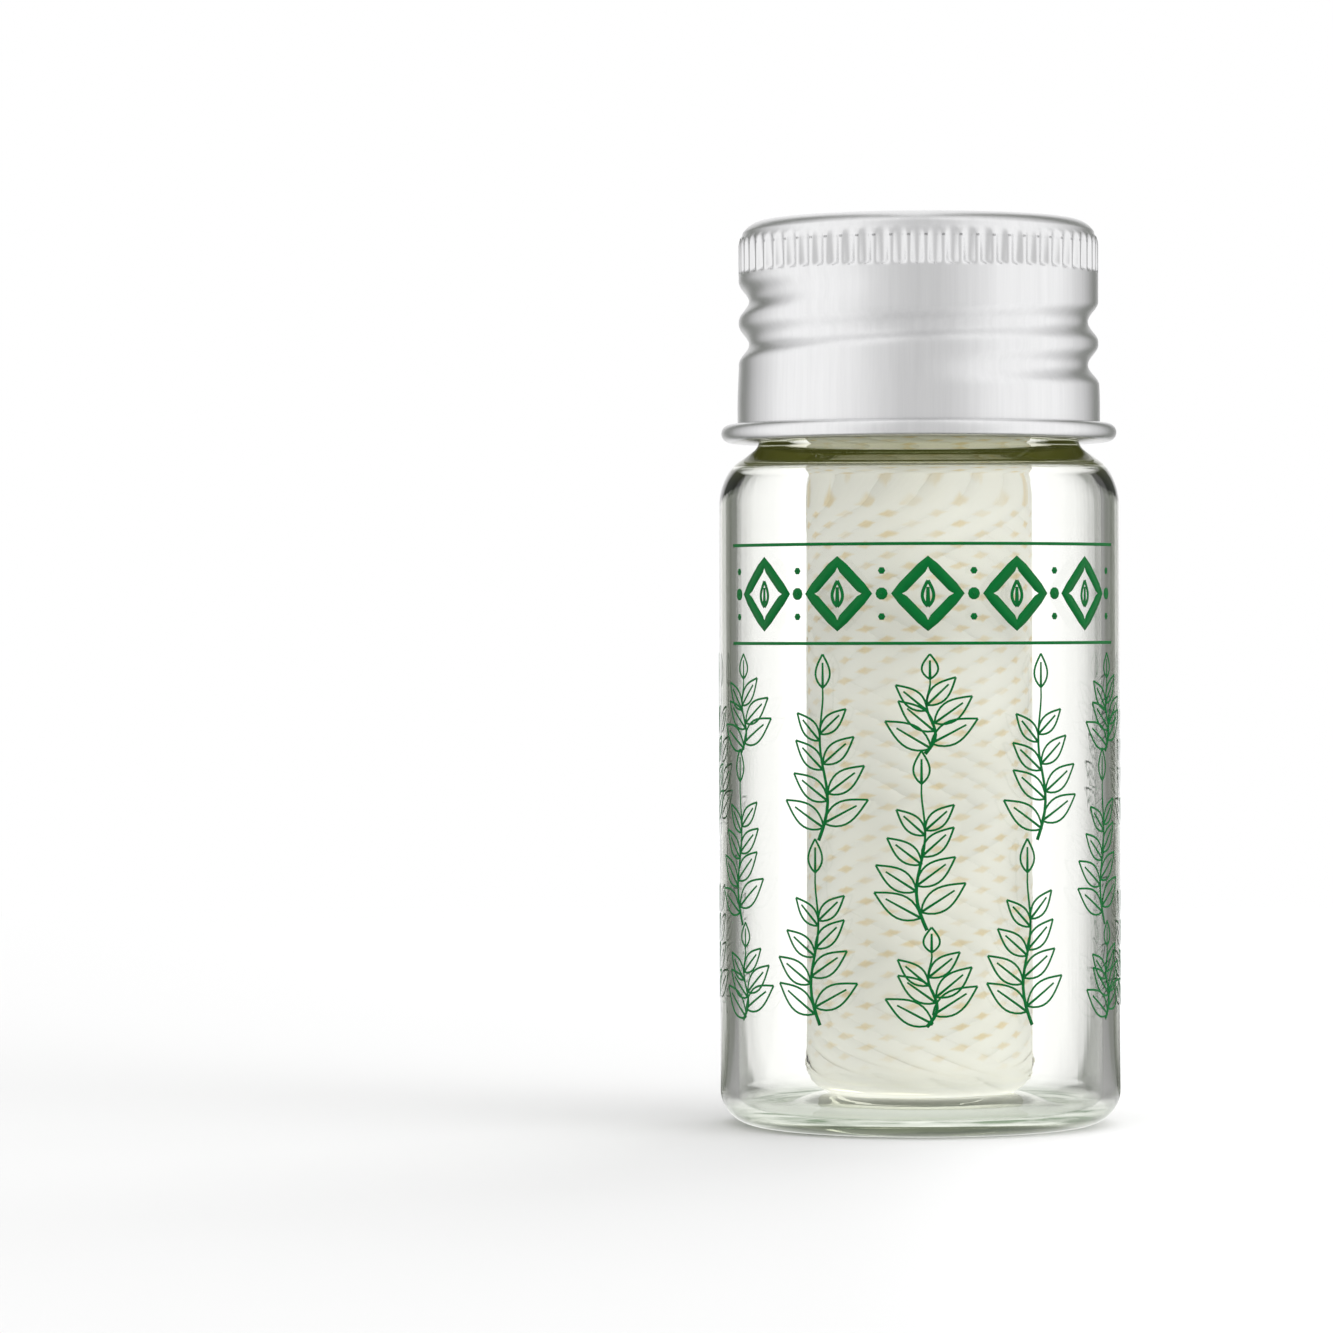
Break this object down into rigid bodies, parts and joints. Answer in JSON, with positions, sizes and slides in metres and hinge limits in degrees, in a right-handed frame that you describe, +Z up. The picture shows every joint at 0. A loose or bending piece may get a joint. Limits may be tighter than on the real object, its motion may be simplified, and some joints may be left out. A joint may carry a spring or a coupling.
{
  "type": "dental floss dispenser",
  "caption": "Clear glass vial with a screw cap of spun aluminium sheet, holding a cross-wound floss package under a pressed steel plate that guides and cuts the floss.",
  "frame": {"origin": "centre of the vial's foot, on the plane it stands on", "axes": "+Z up along the vial's axis; the pictured side faces -Y, with +X to the right"},
  "size_m": [0.027, 0.027, 0.0608],
  "materials": {
    "glass": "clear",
    "cap_aluminium": "satin",
    "liner_foam": "matte",
    "cutter_steel": "satin",
    "floss": "matte",
    "print_ink": "satin"
  },
  "bodies": {
    "vial": {"glass_vial": "glass", "cutter_insert": "cutter_steel"},
    "liner": {"cap_liner": "liner_foam"},
    "cap": {"screw_cap": "cap_aluminium"},
    "package": {"floss_core": "floss", "floss_winding": "floss"}
  },
  "joints": [
    {"name": "cap_lift", "type": "slide", "parent": "vial", "child": "liner", "axis": [0, 0, 1], "range_m": [0, 0.0146]},
    {"name": "cap_turn", "type": "hinge", "parent": "liner", "child": "cap", "pos_m": [0, 0, 0.0592], "axis": [0, 0, 1], "range_deg": [0, 1800]},
    {"name": "package_lift", "type": "slide", "parent": "vial", "child": "package", "axis": [0, 0, 1], "range_m": [0, 0.005]}
  ],
  "couplings": [
    {"joint": "cap_lift", "follows": "cap_turn", "m_per_rad": 0.00046155}
  ]
}
